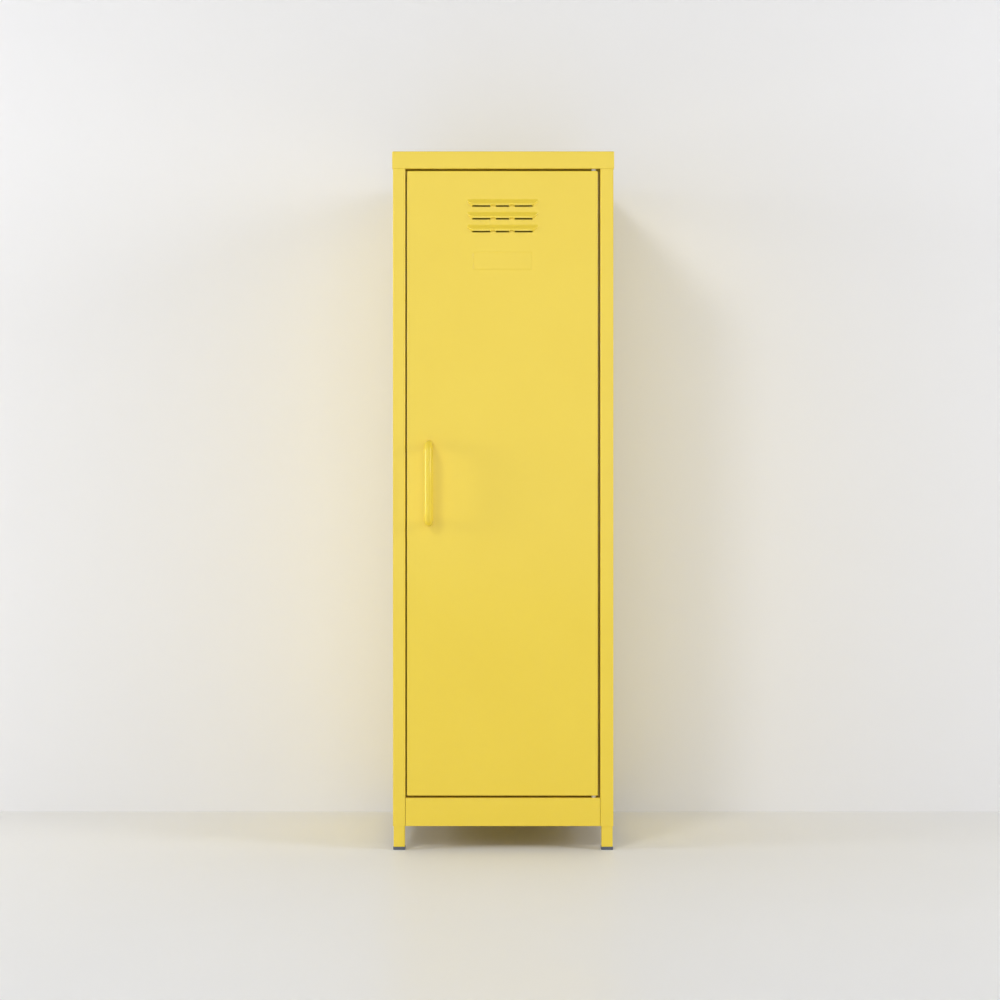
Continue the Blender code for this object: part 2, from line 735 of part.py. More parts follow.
def bead_rings(middle_z, shrink, base):
    """A long half-round bead on the door's front, closed by a flat at base. shrink insets it by a wall."""
    half, out = BEAD_HALF - shrink, BEAD_OUT - shrink
    straight = BEAD_L / 2 - BEAD_TAPER
    taper = BEAD_TAPER - shrink
    stations = [(-1, math.pi / 2 * t / 4) for t in (3.8, 3, 2, 1, 0)]
    stations += [(1, angle) for _, angle in reversed(stations)]
    rings = []
    for end, angle in stations:
        x = DOOR_MID_X + end * (straight + taper * math.sin(angle))
        size = math.cos(angle)
        ring = [Vector((x, base, middle_z - half * size))]
        for step in range(BEAD_STEPS + 1):
            turn = math.pi * step / BEAD_STEPS
            y = Y_FACE - out * size * math.sin(turn)
            ring.append(Vector((x, y, middle_z - half * size * math.cos(turn))))
        ring.append(Vector((x, base, middle_z + half * size)))
        rings.append(ring)
    return rings


def bead_levels():
    return [DOOR_Z1 - BEAD_DROP - BEAD_PITCH * i for i in range(BEAD_COUNT)]


def slot_spans():
    """The three slots of a bead, as pairs of X."""
    half = SLOT_MID / 2
    outer = half + SLOT_WEB
    spans = [(-outer - SLOT_END, -outer), (-half, half), (outer, outer + SLOT_END)]
    return [(DOOR_MID_X + low, DOOR_MID_X + high) for low, high in spans]


def handle_ends():
    return [DOOR_MID_Z - HANDLE_PITCH / 2, DOOR_MID_Z + HANDLE_PITCH / 2]


def door_panel(paint):
    """The pressed door pan: front skin, four edges and a return flange round the back."""
    low, high = (DOOR_X0, DOOR_Z0), (DOOR_X1, DOOR_Z1)
    path = [(3 * FOLD + SHEET, Y_FACE), (0, Y_FACE), (0, Y_DOOR_BACK), (DOOR_RETURN, Y_DOOR_BACK)]
    panel = pan("door_panel", "Y", low, high, path, -1, DOOR_CORNER, paint)
    mid, inner, through = Y_FACE + SHEET / 2, Y_FACE + SHEET, Y_FACE + 3 * SHEET
    levels = bead_levels()
    use_cutter(panel, cutter("beads_out", [bead_rings(z, 0, mid) for z in levels]), "UNION")
    use_cutter(panel, cutter("beads_in", [bead_rings(z, SHEET, through) for z in levels]))
    slots = []
    for z in levels:
        low_z = z - BEAD_HALF - SEAT
        for x0, x1 in slot_spans():
            slots.append(box_rings((x0, Y_FACE - 2 * BEAD_OUT, low_z), (x1, through, low_z + SLOT_H)))
    cut(panel, "bead_slots", slots)
    card_z = DOOR_Z1 - CARD_DROP
    for name, margin, near, far, operation in (
        ("card_back", SHEET, mid, inner + CARD_DEEP, "UNION"),
        ("card_front", 0, Y_FACE - SHEET, Y_FACE + CARD_DEEP, "DIFFERENCE"),
    ):
        wide, tall = CARD_W / 2 + margin, CARD_H / 2 + margin
        rings = box_rings((DOOR_MID_X - wide, near, card_z - tall), (DOOR_MID_X + wide, far, card_z + tall))
        use_cutter(panel, cutter(name, [rings]), operation)
    holes = [
        screw_hole("Y", (HANDLE_X, z), Y_FACE - SHEET, through, HANDLE_SCREW_R) for z in handle_ends()
    ]
    pins = [
        rod("Z", (AXIS_X, AXIS_Y), PIN_R + SEAT, z - 2 * SHEET, z + 2 * SHEET) for z in (DOOR_Z0, DOOR_Z1)
    ]
    cut(panel, "door_holes", holes + pins)


def door_stiffener(paint):
    """Hat channel up the middle of the door, behind the skin."""
    inner = Y_FACE + SHEET + SEAT
    top = inner + STIFFENER_D
    half, foot = STIFFENER_W / 2, STIFFENER_W / 2 + STIFFENER_FOOT
    line = [(-foot, inner), (-half, inner), (-half, top), (half, top), (half, inner), (foot, inner)]
    path = [(DOOR_MID_X + x, y) for x, y in line]
    low, high = DOOR_Z0 + STIFFENER_END, DOOR_Z1 - CARD_DROP - CARD_H / 2 - STIFFENER_END
    folded_prism("door_stiffener", "Z", path, 1, low, high, paint)


def handle(paint, zinc):
    """A bent round rod with its two ends on the door, each tapped for a screw from inside."""
    low_z, high_z = handle_ends()
    line_y = Y_FACE - HANDLE_OUT + HANDLE_D / 2
    foot_y = Y_FACE - SEAT
    pivot_y = line_y + HANDLE_BEND
    spots = [(foot_y, low_z, 0)]
    for pivot_z, start in ((low_z + HANDLE_BEND, 0), (high_z - HANDLE_BEND, 90)):
        for step in range(HANDLE_STEPS + 1):
            angle = math.radians(start + 90 * step / HANDLE_STEPS)
            y = pivot_y - HANDLE_BEND * math.sin(angle)
            spots.append((y, pivot_z - HANDLE_BEND * math.cos(angle), angle))
    spots.append((foot_y, high_z, math.pi))
    rings = []
    for y, z, angle in spots:
        ring = []
        for side in range(HANDLE_SIDES):
            turn = 2 * math.pi * side / HANDLE_SIDES
            across, out = HANDLE_D / 2 * math.cos(turn), HANDLE_D / 2 * math.sin(turn)
            ring.append(Vector((HANDLE_X + across, y - out * math.sin(angle), z - out * math.cos(angle))))
        rings.append(ring)
    bar = loft("handle", rings, paint)
    low_y, high_y = foot_y - HANDLE_TAP, foot_y + SHEET
    wide = HANDLE_SCREW_R + SEAT
    taps = [rod("Y", (HANDLE_X, z), wide, low_y, high_y, HANDLE_SIDES) for z in handle_ends()]
    cut(bar, "handle_taps", taps)
    inside, length = Y_FACE + SHEET, HANDLE_TAP * 0.75
    for name, z in zip(("lower", "upper"), handle_ends()):
        screw(f"handle_screw_{name}", "Y", (HANDLE_X, z), inside, -1, zinc, length, HANDLE_SCREW_R)


def main():
    for old in list(bpy.data.objects):
        bpy.data.objects.remove(old)
    paint = material("yellow_powder_coat", (0.84, 0.62, 0.07), 0.42)
    dark = material("grey_plastic", (0.08, 0.09, 0.12), 0.5)
    white = material("white_nylon", (0.85, 0.85, 0.82), 0.45)
    rubber = material("clear_rubber", (0.55, 0.55, 0.52), 0.6)
    zinc = material("zinc_plate", (0.62, 0.62, 0.60), 0.32, 0.9)
    side_panel(-1, LATCH_STILE, paint)
    side_panel(1, HINGE_STILE, paint)
    header_rail(paint)
    kick_rail(paint)
    rear_rails(paint)
    floor_panel(paint)
    top_cap(paint)
    back_panel(paint)
    rear_fasteners(zinc)
    legs(paint, dark, zinc)
    shelving(paint, zinc)
    catch(white, dark, zinc)
    bumpers(rubber)
    hinges(white, zinc, zinc)
    door_panel(paint)
    door_stiffener(paint)
    handle(paint, zinc)


main()
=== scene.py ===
import json
import math

import bmesh
import bpy
from mathutils import Matrix, Vector


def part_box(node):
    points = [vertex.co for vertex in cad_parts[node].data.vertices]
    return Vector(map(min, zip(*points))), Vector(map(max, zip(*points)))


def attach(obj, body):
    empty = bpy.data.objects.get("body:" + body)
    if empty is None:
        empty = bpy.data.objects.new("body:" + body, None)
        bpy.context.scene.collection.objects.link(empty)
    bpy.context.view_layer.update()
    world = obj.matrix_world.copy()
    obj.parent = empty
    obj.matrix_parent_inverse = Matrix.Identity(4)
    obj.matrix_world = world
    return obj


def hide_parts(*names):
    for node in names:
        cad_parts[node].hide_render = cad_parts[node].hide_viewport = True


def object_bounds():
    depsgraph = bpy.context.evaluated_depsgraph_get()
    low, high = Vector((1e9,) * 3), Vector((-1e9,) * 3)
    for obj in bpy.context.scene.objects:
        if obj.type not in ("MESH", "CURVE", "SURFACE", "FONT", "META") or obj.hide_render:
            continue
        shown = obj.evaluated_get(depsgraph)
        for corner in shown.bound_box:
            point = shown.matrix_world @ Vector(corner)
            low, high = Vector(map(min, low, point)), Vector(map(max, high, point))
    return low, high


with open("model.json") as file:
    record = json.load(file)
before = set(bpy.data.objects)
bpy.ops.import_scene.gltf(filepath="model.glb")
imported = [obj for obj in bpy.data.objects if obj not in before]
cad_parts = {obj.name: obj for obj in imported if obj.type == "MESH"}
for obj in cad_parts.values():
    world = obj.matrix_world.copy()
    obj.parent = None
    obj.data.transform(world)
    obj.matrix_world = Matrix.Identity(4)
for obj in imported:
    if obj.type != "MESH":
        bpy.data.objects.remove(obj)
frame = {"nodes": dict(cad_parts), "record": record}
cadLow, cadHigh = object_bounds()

# Looks of a narrow steel locker: powder coated sheet, a bent rod handle, louvres, short legs.
# Metres, +Z up, and the door faces -Y.

scene = bpy.context.scene
bodies = frame["record"]["behaviour"]["bodies"]
bodyOf = {node: body for body, nodes in bodies.items() for node in nodes}

sheetGauge = 0.0008
doorLow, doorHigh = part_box("door_panel")
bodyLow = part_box("side_panel_left")[0]
frontFace = bodyLow.y


def addNode(tree, kind, links=None, **settings):
    # makes a node, sets it up, and links what is given as a socket
    made = tree.nodes.new("ShaderNode" + kind)
    for key, value in settings.items():
        setattr(made, key, value)
    for key, value in (links or {}).items():
        if isinstance(value, bpy.types.NodeSocket):
            tree.links.new(value, made.inputs[key])
        else:
            made.inputs[key].default_value = value
    return made


def newGroup(name, inputs, outputs):
    tree = bpy.data.node_groups.new(name, "ShaderNodeTree")
    for label, value in inputs.items():
        kind = "NodeSocketVector" if isinstance(value, tuple) else "NodeSocketFloat"
        socket = tree.interface.new_socket(label, in_out="INPUT", socket_type=kind)
        socket.default_value = value
    for label in outputs:
        tree.interface.new_socket(label, in_out="OUTPUT", socket_type="NodeSocketFloat")
    start = tree.nodes.new("NodeGroupInput")
    end = tree.nodes.new("NodeGroupOutput")
    return tree, start.outputs, end.inputs


def maths(tree, operation, a, b=0.0, clamp=False):
    return addNode(tree, "Math", {0: a, 1: b}, operation=operation, use_clamp=clamp).outputs[0]


def ranged(tree, value, low, high, toLow=0.0, toHigh=1.0):
    limits = {"Value": value, "From Min": low, "From Max": high, "To Min": toLow, "To Max": toHigh}
    return addNode(tree, "MapRange", limits, interpolation_type="SMOOTHSTEP").outputs["Result"]


def noiseAt(tree, scale, detail=2.0, vector=None, roughness=0.5):
    place = vector or addNode(tree, "TexCoord").outputs["Object"]
    links = {"Vector": place, "Scale": scale, "Detail": detail, "Roughness": roughness}
    return addNode(tree, "TexNoise", links).outputs["Fac"]


def stretched(tree, scale):
    place = addNode(tree, "TexCoord").outputs["Object"]
    return addNode(tree, "Mapping", {"Vector": place, "Scale": scale}).outputs["Vector"]


def makeGrain():
    # orange peel of a sprayed or moulded skin, with fine specks and slow mottling
    sizes = {"Peel Scale": 620.0, "Speck Scale": 2400.0, "Mottle Scale": 7.0}
    tree, given, out = newGroup("surfaceGrain", sizes, ["Height", "Specks", "Mottle"])
    peel = noiseAt(tree, given["Peel Scale"], 1.5)
    specks = noiseAt(tree, given["Speck Scale"], 2.0)
    height = maths(tree, "ADD", peel, maths(tree, "MULTIPLY", specks, 0.22))
    tree.links.new(height, out["Height"])
    tree.links.new(ranged(tree, specks, 0.36, 0.66), out["Specks"])
    tree.links.new(ranged(tree, noiseAt(tree, given["Mottle Scale"], 4.0), 0.3, 0.7), out["Mottle"])
    return tree


def makeEdgeWear():
    # where a corner is sharp, broken up so that only patches of it are rubbed
    sizes = {"Radius": 0.0012, "Patch Scale": 60.0}
    tree, given, out = newGroup("edgeWear", sizes, ["Rubbed", "Edge"])
    soft = addNode(tree, "Bevel", {"Radius": given["Radius"]}, samples=4).outputs["Normal"]
    hard = addNode(tree, "NewGeometry").outputs["Normal"]
    dot = addNode(tree, "VectorMath", {0: soft, 1: hard}, operation="DOT_PRODUCT").outputs["Value"]
    edge = ranged(tree, dot, 0.97, 0.78)
    patches = ranged(tree, noiseAt(tree, given["Patch Scale"], 5.0), 0.5, 0.62)
    tree.links.new(edge, out["Edge"])
    tree.links.new(maths(tree, "MULTIPLY", edge, patches), out["Rubbed"])
    return tree


def makeDust():
    # settles on what faces up, thicker in clumps
    tree, given, out = newGroup("dustFilm", {"Clump Scale": 26.0, "Amount": 0.5}, ["Dust"])
    normal = addNode(tree, "NewGeometry").outputs["Normal"]
    up = addNode(tree, "SeparateXYZ", {"Vector": normal}).outputs["Z"]
    clumps = ranged(tree, noiseAt(tree, given["Clump Scale"], 8.0, roughness=0.65), 0.35, 0.75)
    lying = maths(tree, "MULTIPLY", ranged(tree, up, 0.55, 1.0), clumps)
    tree.links.new(maths(tree, "MULTIPLY", lying, given["Amount"]), out["Dust"])
    return tree


def makeHandMarks():
    # the greasy patch that hands leave round a place they touch
    inputs = {"Centre": (0.0, 0.0, 0.0), "Reach": 0.09}
    tree, given, out = newGroup("handMarks", inputs, ["Marks"])
    place = addNode(tree, "TexCoord").outputs["Object"]
    away = addNode(tree, "VectorMath", {0: place, 1: given["Centre"]}, operation="DISTANCE")
    near = ranged(tree, maths(tree, "DIVIDE", away.outputs["Value"], given["Reach"]), 1.0, 0.25)
    blots = ranged(tree, noiseAt(tree, 70.0, 6.0), 0.44, 0.62)
    tree.links.new(maths(tree, "MULTIPLY", near, blots), out["Marks"])
    return tree


def makePlating():
    # long drawing streaks and spangle under a thin zinc plating
    sizes = {"Streak Scale": 900.0, "Bloom Scale": 160.0}
    tree, given, out = newGroup("platingStreaks", sizes, ["Streaks", "Bloom"])
    streaks = noiseAt(tree, given["Streak Scale"], 3.0, stretched(tree, (1.0, 1.0, 0.04)))
    bloom = noiseAt(tree, given["Bloom Scale"], 5.0)
    tree.links.new(ranged(tree, streaks, 0.35, 0.65), out["Streaks"])
    tree.links.new(ranged(tree, bloom, 0.4, 0.7), out["Bloom"])
    return tree


groups = {
    "grain": makeGrain(),
    "wear": makeEdgeWear(),
    "dust": makeDust(),
    "marks": makeHandMarks(),
    "plating": makePlating(),
}
print("shader groups made")


def newMaterial(name):
    made = bpy.data.materials.new(name)
    made.use_nodes = True
    return made, made.node_tree, made.node_tree.nodes["Principled BSDF"]


def useGroup(tree, key, **values):
    made = tree.nodes.new("ShaderNodeGroup")
    made.node_tree = groups[key]
    for label, value in values.items():
        made.inputs[label.replace("_", " ")].default_value = value
    return made.outputs


def mixed(tree, mask, first, second):
    # colour from first to second as the mask rises
    made = addNode(tree, "Mix", data_type="RGBA")
    for index, value in ((0, mask), (6, first), (7, second)):
        if isinstance(value, bpy.types.NodeSocket):
            tree.links.new(value, made.inputs[index])
        else:
            made.inputs[index].default_value = (*value, 1.0) if isinstance(value, tuple) else value
    return made.outputs[2]


def scaled(tree, mask, amount):
    return maths(tree, "MULTIPLY", mask, amount)


def bumped(tree, shader, height, depth, strength=1.0):
    bump = addNode(tree, "Bump", {"Height": height, "Distance": depth, "Strength": strength})
    tree.links.new(bump.outputs["Normal"], shader.inputs["Normal"])


coatLook = {
    "colour": (0.850, 0.638, 0.050),
    "deep": (0.815, 0.590, 0.042),
    "pale": (0.880, 0.690, 0.115),
    "rubbed": (0.760, 0.560, 0.100),
    "dust": (0.640, 0.600, 0.520),
    "grease": (0.790, 0.580, 0.055),
    "roughness": (0.39, 0.43),
    "dusty": 0.12,
    "peelDepth": 0.000030,
    "specular": 0.2,
    "gloss": 0.5,
    "glossRoughness": 0.14,
}


def powderCoat(name, touched=None):
    # baked polyester powder: slight orange peel, thin on sharp edges, dusty on top
    made, tree, shader = newMaterial(name)
    look = coatLook
    grain = useGroup(tree, "grain")
    wear = useGroup(tree, "wear")
    dust = useGroup(tree, "dust", Amount=look["dusty"])
    colour = mixed(tree, scaled(tree, grain["Mottle"], 0.22), look["colour"], look["deep"])
    colour = mixed(tree, scaled(tree, grain["Specks"], 0.16), colour, look["pale"])
    colour = mixed(tree, scaled(tree, wear["Rubbed"], 0.4), colour, look["rubbed"])
    colour = mixed(tree, dust["Dust"], colour, look["dust"])
    rough = ranged(tree, grain["Mottle"], 0.0, 1.0, *look["roughness"])
    rough = maths(tree, "ADD", rough, scaled(tree, dust["Dust"], 0.35), clamp=True)
    rough = maths(tree, "ADD", rough, scaled(tree, wear["Edge"], 0.05), clamp=True)
    if touched:
        marks = useGroup(tree, "marks", Centre=touched)["Marks"]
        colour = mixed(tree, scaled(tree, marks, 0.03), colour, look["grease"])
        rough = maths(tree, "SUBTRACT", rough, scaled(tree, marks, 0.05), clamp=True)
    tree.links.new(colour, shader.inputs["Base Color"])
    tree.links.new(rough, shader.inputs["Roughness"])
    shader.inputs["Specular IOR Level"].default_value = look["specular"]
    shader.inputs["Coat Weight"].default_value = look["gloss"]
    shader.inputs["Coat Roughness"].default_value = look["glossRoughness"]
    bumped(tree, shader, grain["Height"], look["peelDepth"])
    return made


mouldedLooks = {
    "foot_plastic": {
        "name": "footPlastic",
        "colour": (0.098, 0.114, 0.148),
        "darker": (0.072, 0.085, 0.115),
        "roughness": 0.50,
        "speckScale": 2600.0,
        "depth": 0.000030,
        "dusty": 0.5,
    },
    "white_nylon": {
        "name": "whiteNylon",
        "colour": (0.80, 0.80, 0.77),
        "darker": (0.74, 0.73, 0.68),
        "roughness": 0.42,
        "speckScale": 3000.0,
        "depth": 0.000012,
        "dusty": 0.2,
    },
    "bumper_rubber": {
        "name": "bumperRubber",
        "colour": (0.52, 0.52, 0.49),
        "darker": (0.45, 0.45, 0.42),
        "roughness": 0.55,
        "speckScale": 2200.0,
        "depth": 0.000020,
        "dusty": 0.5,
    },
    "magnet_ferrite": {
        "name": "magnetFerrite",
        "colour": (0.045, 0.045, 0.05),
        "darker": (0.03, 0.03, 0.032),
        "roughness": 0.62,
        "speckScale": 5200.0,
        "depth": 0.000030,
        "dusty": 0.5,
    },
}


def brighter(colour, times):
    return tuple(min(1.0, times * part) for part in colour)


def plainMoulding(name, colour, darker, roughness, speckScale, depth, dusty):
    # moulded plastic, rubber or pressed ferrite: fine matt grain, paler where it is rubbed
    made, tree, shader = newMaterial(name)
    scales = {"Peel_Scale": speckScale / 3, "Speck_Scale": speckScale, "Mottle_Scale": 40.0}
    grain = useGroup(tree, "grain", **scales)
    wear = useGroup(tree, "wear", Radius=0.0005, Patch_Scale=220.0)
    dust = useGroup(tree, "dust", Amount=dusty)
    tint = mixed(tree, scaled(tree, grain["Mottle"], 0.5), colour, darker)
    tint = mixed(tree, scaled(tree, grain["Specks"], 0.15), tint, brighter(colour, 1.5))
    tint = mixed(tree, scaled(tree, wear["Rubbed"], 0.25), tint, brighter(colour, 1.9))
    tint = mixed(tree, dust["Dust"], tint, coatLook["dust"])
    tree.links.new(tint, shader.inputs["Base Color"])
    rough = ranged(tree, grain["Specks"], 0.0, 1.0, roughness - 0.05, roughness + 0.07)
    rough = maths(tree, "ADD", rough, scaled(tree, dust["Dust"], 0.3), clamp=True)
    tree.links.new(rough, shader.inputs["Roughness"])
    bumped(tree, shader, grain["Height"], depth)
    return made


zincLook = {
    "bright": (0.70, 0.71, 0.72),
    "streak": (0.56, 0.58, 0.62),
    "bloom": (0.62, 0.60, 0.56),
    "rubbed": (0.80, 0.80, 0.79),
    "roughness": (0.24, 0.36),
    "depth": 0.000012,
}


def zincPlate(name):
    # bright zinc on drawn steel, a little bloomed, worn to steel on the corners
    made, tree, shader = newMaterial(name)
    look = zincLook
    plating = useGroup(tree, "plating")
    grain = useGroup(tree, "grain", Peel_Scale=1500.0, Speck_Scale=5200.0, Mottle_Scale=90.0)
    wear = useGroup(tree, "wear", Radius=0.0004, Patch_Scale=400.0)
    dust = useGroup(tree, "dust", Amount=0.3)
    tint = mixed(tree, scaled(tree, plating["Streaks"], 0.6), look["bright"], look["streak"])
    tint = mixed(tree, scaled(tree, plating["Bloom"], 0.5), tint, look["bloom"])
    tint = mixed(tree, scaled(tree, wear["Rubbed"], 0.4), tint, look["rubbed"])
    tint = mixed(tree, dust["Dust"], tint, coatLook["dust"])
    tree.links.new(tint, shader.inputs["Base Color"])
    rough = ranged(tree, plating["Streaks"], 0.0, 1.0, *look["roughness"])
    rough = maths(tree, "ADD", rough, scaled(tree, plating["Bloom"], 0.16), clamp=True)
    tree.links.new(rough, shader.inputs["Roughness"])
    metal = maths(tree, "SUBTRACT", 1.0, scaled(tree, dust["Dust"], 0.8), clamp=True)
    tree.links.new(metal, shader.inputs["Metallic"])
    height = maths(tree, "ADD", scaled(tree, plating["Streaks"], 0.5), grain["Height"])
    bumped(tree, shader, height, look["depth"])
    return made


handleLow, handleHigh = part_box("handle")
handleMiddle = (handleLow + handleHigh) / 2
finishes = {slot: plainMoulding(**look) for slot, look in mouldedLooks.items()}
finishes["yellow_powder_coat"] = powderCoat("yellowPowderCoat")
finishes["zinc_steel"] = zincPlate("zincSteel")
doorCoat = powderCoat("yellowPowderCoatDoor", tuple(handleMiddle))
print("finishes made")


def meshOf(name, build, sharp=40):
    # a mesh shaded smooth, with the edges over the sharp angle kept crisp
    bmesh.ops.remove_doubles(build, verts=build.verts, dist=1e-7)
    bmesh.ops.dissolve_degenerate(build, edges=build.edges, dist=1e-8)
    bmesh.ops.recalc_face_normals(build, faces=build.faces)
    data = bpy.data.meshes.new(name)
    build.to_mesh(data)
    build.free()
    data.shade_smooth()
    data.set_sharp_from_angle(angle=math.radians(sharp))
    return data


def addRings(build, rings, closed=False):
    # skins rings of equally many points; a closed loft joins the last ring to the first
    loops = [[build.verts.new(point) for point in ring] for ring in rings]
    pairs = list(zip(loops, loops[1:]))
    if closed:
        pairs.append((loops[-1], loops[0]))
    else:
        build.faces.new(loops[0])
        build.faces.new(loops[-1][::-1])
    for first, second in pairs:
        for i in range(len(first)):
            j = (i + 1) % len(first)
            build.faces.new((first[i], first[j], second[j], second[i]))


def spun(name, profile, sides, closed=False):
    # turned about Z from (radius, height) pairs
    build = bmesh.new()
    turns = [2 * math.pi * i / sides for i in range(sides)]
    rings = [[Vector((r * math.cos(a), r * math.sin(a), z)) for a in turns] for r, z in profile]
    addRings(build, rings, closed)
    return meshOf(name, build)


def arcPoints(centre, radius, start, end, steps):
    # (radius, height) points round an arc, angles in degrees
    points = []
    for i in range(steps + 1):
        angle = math.radians(start + (end - start) * i / steps)
        points.append((centre[0] + radius * math.cos(angle), centre[1] + radius * math.sin(angle)))
    return points


def evaluated(piece):
    # the mesh as its modifiers leave it
    return bpy.data.meshes.new_from_object(piece.evaluated_get(bpy.context.evaluated_depsgraph_get()))


def showPiece(name, mesh, node, finish=None, matrix=None):
    # a finer piece that stands for a node and rides on its body
    slot = slotOf[node]
    mesh.materials.clear()
    mesh.materials.append(finish or finishes[slot])
    piece = bpy.data.objects.new(name, mesh)
    scene.collection.objects.link(piece)
    if matrix:
        piece.matrix_world = matrix
    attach(piece, bodyOf[node])
    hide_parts(node)
    return piece


def evenNormals(piece, keepSharp=True):
    # broad faces keep their own normals, so that only the bends and corners look round
    smooth = piece.modifiers.new("smooth", "WEIGHTED_NORMAL")
    smooth.keep_sharp = keepSharp
    smooth.weight = 90


slotStarts = {
    "foot_plastic": ("glide_",),
    "white_nylon": ("hinge_bush_", "catch_housing"),
    "bumper_rubber": ("door_bumper_",),
    "magnet_ferrite": ("catch_magnet",),
    "zinc_steel": ("back_screw", "cap_screw", "leg_screw", "handle_screw", "catch_screw",
                   "hinge_pin", "pin_plate", "clip_", "strike_plate"),
}
slotOf = {node: "yellow_powder_coat" for node in frame["nodes"]}
for slot, starts in slotStarts.items():
    slotOf.update((node, slot) for node in frame["nodes"] if node.startswith(starts))


# door: one pressed pan with three hooded louvres and a card recess
doorSizes = {
    "corner": 0.0020,
    "fold": 0.0016,  # outer radius of the folded edges
    "foldSteps": 6,
    "flange": 0.024,
    "louvres": 3,
    "pitch": 0.0203,
    "drop": 0.0498,
    "length": 0.113,
    "hoodSteps": 22,
    "top": 0.0053,  # where a hood starts, above its middle
    "crest": -0.0028,
    "lip": -0.0053,  # the cut edge that its opening looks down from
    "foot": -0.0072,
    "out": 0.0037,
    "cornerTop": 0.0036,
    "cornerRun": 0.0080,  # how far the lower corners of a hood run in
    "cornerPower": 1.7,
    "shoulder": 0.0054,  # over which a hood's end rises
    "endSteps": 24,
    "slotMiddle": 0.0212,
    "slotWeb": 0.0086,
    "slotOuter": 0.0288,
    "slotSteps": 8,
    "webEase": 0.0016,
    "easeSteps": 4,
    "guard": 0.0006,  # narrow strips that keep the flat face flat beside a pressing
    "cardWidth": 0.094,
    "cardHeight": 0.028,
    "cardDrop": 0.1425,
    "cardDeep": 0.0005,
    "cardSlope": 0.0009,
    "plainAcross": 8,  # steps over the plain face beside and below the pressings
    "plainDown": 24,
}
doorMiddle = (doorLow.x + doorHigh.x) / 2


def louvreLevels():
    size = doorSizes
    return [doorHigh.z - size["drop"] - size["pitch"] * i for i in range(size["louvres"])]


def slotSpans():
    size = doorSizes
    half = size["slotMiddle"] / 2
    outer = half + size["slotWeb"]
    far = outer + size["slotOuter"]
    return [(-far, -outer), (-half, half), (outer, far)]


def hoodRise(across, up):
    # height of a louvre at a point from its middle: a soft slope down to a cut lip, closed at its webs
    size = doorSizes
    if not size["foot"] + 1e-6 < up < size["top"]:  # clear of rounding, as the foot has its own row
        return 0.0
    slope = min(1.0, (size["top"] - up) / (size["top"] - size["crest"]))
    section = slope * slope * (3 - 2 * slope)
    if up < size["crest"]:
        gap = min(max(start - across, across - end, 0.0) for start, end in slotSpans())
        closed = min(1.0, gap / size["webEase"])
        closed *= closed * (3 - 2 * closed)
        fall = min(1.0, (size["crest"] - up) / (size["crest"] - size["lip"]))
        section -= closed * (1 - math.sqrt(1 - fall * fall))
    low = max(0.0, (size["cornerTop"] - up) / (size["cornerTop"] - size["lip"]))
    reach = size["length"] / 2 - size["cornerRun"] * min(1.0, low) ** size["cornerPower"]
    inside = min(1.0, (reach - abs(across)) / size["shoulder"])
    if inside <= 0:
        return 0.0
    return size["out"] * section * math.sqrt(1 - (1 - inside) ** 2)


def cardDip(across, up):
    # depth of the card recess, with soft sides
    size = doorSizes
    edge = min(size["cardWidth"] / 2 - abs(across), size["cardHeight"] / 2 - abs(up))
    share = min(1.0, max(0.0, edge / size["cardSlope"]))
    return size["cardDeep"] * share * share * (3 - 2 * share)


def spread(low, high, steps):
    return [low + (high - low) * i / steps for i in range(steps + 1)]


def inOrder(values, apart=1e-5):
    # sorted, without the ones that all but repeat another
    ordered = []
    for value in sorted(values):
        if not ordered or value - ordered[-1] > apart:
            ordered.append(value)
    return ordered


def doorColumns():
    size = doorSizes
    ease, steps = size["webEase"], size["easeSteps"]
    reach = size["length"] / 2
    half = {0.0}
    for start, end in slotSpans()[1:]:
        half.update(spread(max(start, 0.0), end, size["slotSteps"]))
        half.update(spread(end, end + ease, steps))
    start, end = slotSpans()[2]
    half.update(spread(start - ease, start, steps))
    half.update(spread(end, reach, size["endSteps"]))
    card = size["cardWidth"] / 2
    half.update(spread(card - size["cardSlope"], card, steps))
    edge = (doorHigh.x - doorLow.x) / 2 - size["corner"]
    half.update(spread(reach, edge, size["plainAcross"]))
    ordered = inOrder(half)
    return [doorMiddle - x for x in reversed(ordered[1:])] + [doorMiddle + x for x in ordered]


def doorRows():
    size = doorSizes
    rows = {doorLow.z + size["corner"], doorHigh.z - size["corner"]}
    for z in louvreLevels():
        rows.update(z + up for up in spread(size["lip"], size["top"], size["hoodSteps"]))
        rows.update((z + size["foot"], z + size["foot"] - size["guard"], z + size["top"] + size["guard"]))
    card = doorHigh.z - size["cardDrop"]
    edge = size["cardHeight"] / 2
    for sign in (-1, 1):
        rows.update(card + sign * d for d in spread(edge - size["cardSlope"], edge, size["easeSteps"]))
    rows.update(spread(doorLow.z + size["corner"], card - size["cardHeight"], size["plainDown"]))
    return inOrder(rows)


def kept(value, low, high):
    return min(max(value, low), high)


